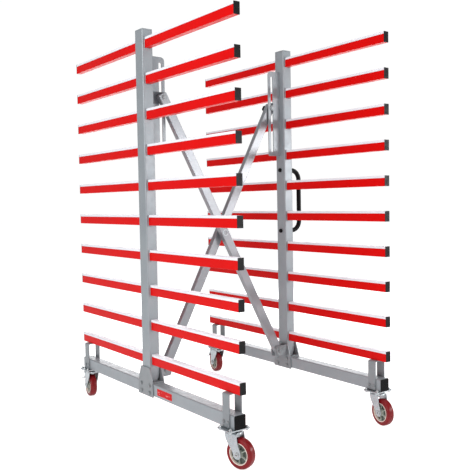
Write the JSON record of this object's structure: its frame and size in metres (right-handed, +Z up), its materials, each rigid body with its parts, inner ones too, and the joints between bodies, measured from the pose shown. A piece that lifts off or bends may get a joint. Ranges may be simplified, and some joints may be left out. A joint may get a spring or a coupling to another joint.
{
  "type": "beam trolley",
  "caption": "Folding two-column trolley on swivel casters: cantilever beams on each column carry long stock, and a scissor with slotted guides sets the distance between the columns.",
  "frame": {"origin": "on the floor, midway along the beams and midway between the two columns", "axes": "+X along the beams towards the end without brakes, +Y from the front column to the rear one with the handle, +Z up"},
  "size_m": [1.5459, 1.0295, 1.882],
  "materials": {
    "frame_grey": "powder coat",
    "arm_grey": "powder coat",
    "beam_red": "gloss powder coat",
    "zinc": "zinc plated",
    "black_plastic": "moulded",
    "wheel": "moulded tread"
  },
  "bodies": {
    "front_frame": {"column_front": "frame_grey", "column_cap_front": "frame_grey", "beam_front_01": "beam_red", "beam_front_02": "beam_red", "beam_front_03": "beam_red", "beam_front_04": "beam_red", "beam_front_05": "beam_red", "beam_front_06": "beam_red", "beam_front_07": "beam_red", "beam_front_08": "beam_red", "beam_front_09": "beam_red", "beam_front_10": "beam_red", "base_tube_front": "frame_grey", "base_cap_front_left": "black_plastic", "base_cap_front_right": "black_plastic", "stay_front_left": "frame_grey", "stay_front_right": "frame_grey", "foot_bracket_front": "frame_grey", "guide_front": "frame_grey", "caster_plate_front_left": "zinc", "caster_plate_front_right": "zinc"},
    "rear_frame": {"column_rear": "frame_grey", "column_cap_rear": "frame_grey", "beam_rear_01": "beam_red", "beam_rear_02": "beam_red", "beam_rear_03": "beam_red", "beam_rear_04": "beam_red", "beam_rear_05": "beam_red", "beam_rear_06": "beam_red", "beam_rear_07": "beam_red", "beam_rear_08": "beam_red", "beam_rear_09": "beam_red", "beam_rear_10": "beam_red", "base_tube_rear": "frame_grey", "base_cap_rear_left": "black_plastic", "base_cap_rear_right": "black_plastic", "stay_rear_left": "frame_grey", "stay_rear_right": "frame_grey", "foot_bracket_rear": "frame_grey", "guide_rear": "frame_grey", "caster_plate_rear_left": "zinc", "caster_plate_rear_right": "zinc", "handle": "black_plastic"},
    "arm_b": {"scissor_arm_b": "arm_grey", "centre_pin": "zinc"},
    "arm_a": {"scissor_arm_a": "arm_grey"},
    "front_slider": {"slider_front": "black_plastic"},
    "rear_slider": {"slider_rear": "black_plastic"},
    "front_knob": {"knob_front": "black_plastic"},
    "rear_knob": {"knob_rear": "black_plastic"},
    "fork_front_left": {"caster_fork_front_left": "zinc"},
    "wheel_front_left": {"caster_wheel_front_left": "wheel"},
    "pedal_front_left": {"brake_pedal_front_left": "zinc"},
    "fork_front_right": {"caster_fork_front_right": "zinc"},
    "wheel_front_right": {"caster_wheel_front_right": "wheel"},
    "fork_rear_left": {"caster_fork_rear_left": "zinc"},
    "wheel_rear_left": {"caster_wheel_rear_left": "wheel"},
    "pedal_rear_left": {"brake_pedal_rear_left": "zinc"},
    "fork_rear_right": {"caster_fork_rear_right": "zinc"},
    "wheel_rear_right": {"caster_wheel_rear_right": "wheel"}
  },
  "joints": [
    {"name": "fold", "type": "hinge", "parent": "front_frame", "child": "arm_b", "pos_m": [0, -0.346, 0.26], "axis": [1, 0, 0], "range_deg": [-15, 20]},
    {"name": "scissor_centre", "type": "hinge", "parent": "arm_b", "child": "arm_a", "pos_m": [0, 0, 0.916], "axis": [1, 0, 0], "range_deg": [-40, 30]},
    {"name": "rear_foot", "type": "hinge", "parent": "arm_a", "child": "rear_frame", "pos_m": [0, 0.346, 0.26], "axis": [1, 0, 0], "range_deg": [-15, 20]},
    {"name": "slider_rear_turn", "type": "hinge", "parent": "arm_b", "child": "rear_slider", "pos_m": [0, 0.346, 1.572], "axis": [1, 0, 0], "range_deg": [-20, 15]},
    {"name": "slider_front_turn", "type": "hinge", "parent": "arm_a", "child": "front_slider", "pos_m": [0, -0.346, 1.572], "axis": [1, 0, 0], "range_deg": [-15, 20]},
    {"name": "knob_front_turn", "type": "hinge", "parent": "front_slider", "child": "front_knob", "pos_m": [-0.0076, -0.346, 1.572], "axis": [1, 0, 0], "continuous": true},
    {"name": "knob_rear_turn", "type": "hinge", "parent": "rear_slider", "child": "rear_knob", "pos_m": [-0.0352, 0.346, 1.572], "axis": [1, 0, 0], "continuous": true},
    {"name": "swivel_front_left", "type": "hinge", "parent": "front_frame", "child": "fork_front_left", "pos_m": [-0.658, -0.43, 0.14], "axis": [0, 0, 1], "continuous": true},
    {"name": "spin_front_left", "type": "hinge", "parent": "fork_front_left", "child": "wheel_front_left", "pos_m": [-0.69167, -0.42527, 0.0635], "axis": [-0.1392, -0.9903, 0], "continuous": true},
    {"name": "brake_front_left", "type": "hinge", "parent": "fork_front_left", "child": "pedal_front_left", "pos_m": [-0.70751, -0.42304, 0.134], "axis": [-0.1392, -0.9903, 0], "range_deg": [-20, 0]},
    {"name": "swivel_front_right", "type": "hinge", "parent": "front_frame", "child": "fork_front_right", "pos_m": [0.658, -0.43, 0.14], "axis": [0, 0, 1], "continuous": true},
    {"name": "spin_front_right", "type": "hinge", "parent": "fork_front_right", "child": "wheel_front_right", "pos_m": [0.69068, -0.42063, 0.0635], "axis": [-0.2756, 0.9613, 0], "continuous": true},
    {"name": "swivel_rear_left", "type": "hinge", "parent": "rear_frame", "child": "fork_rear_left", "pos_m": [-0.658, 0.43, 0.14], "axis": [0, 0, 1], "continuous": true},
    {"name": "spin_rear_left", "type": "hinge", "parent": "fork_rear_left", "child": "wheel_rear_left", "pos_m": [-0.69158, 0.43532, 0.0635], "axis": [-0.1564, -0.9877, 0], "continuous": true},
    {"name": "brake_rear_left", "type": "hinge", "parent": "fork_rear_left", "child": "pedal_rear_left", "pos_m": [-0.70738, 0.43782, 0.134], "axis": [-0.1564, -0.9877, 0], "range_deg": [-20, 0]},
    {"name": "swivel_rear_right", "type": "hinge", "parent": "rear_frame", "child": "fork_rear_right", "pos_m": [0.658, 0.43, 0.14], "axis": [0, 0, 1], "continuous": true},
    {"name": "spin_rear_right", "type": "hinge", "parent": "fork_rear_right", "child": "wheel_rear_right", "pos_m": [0.69167, 0.42527, 0.0635], "axis": [0.1392, 0.9903, 0], "continuous": true}
  ],
  "couplings": [
    {"joint": "scissor_centre", "follows": "fold", "ratio": -2},
    {"joint": "rear_foot", "follows": "fold", "ratio": 1},
    {"joint": "slider_rear_turn", "follows": "fold", "ratio": -1},
    {"joint": "slider_front_turn", "follows": "fold", "ratio": 1}
  ]
}
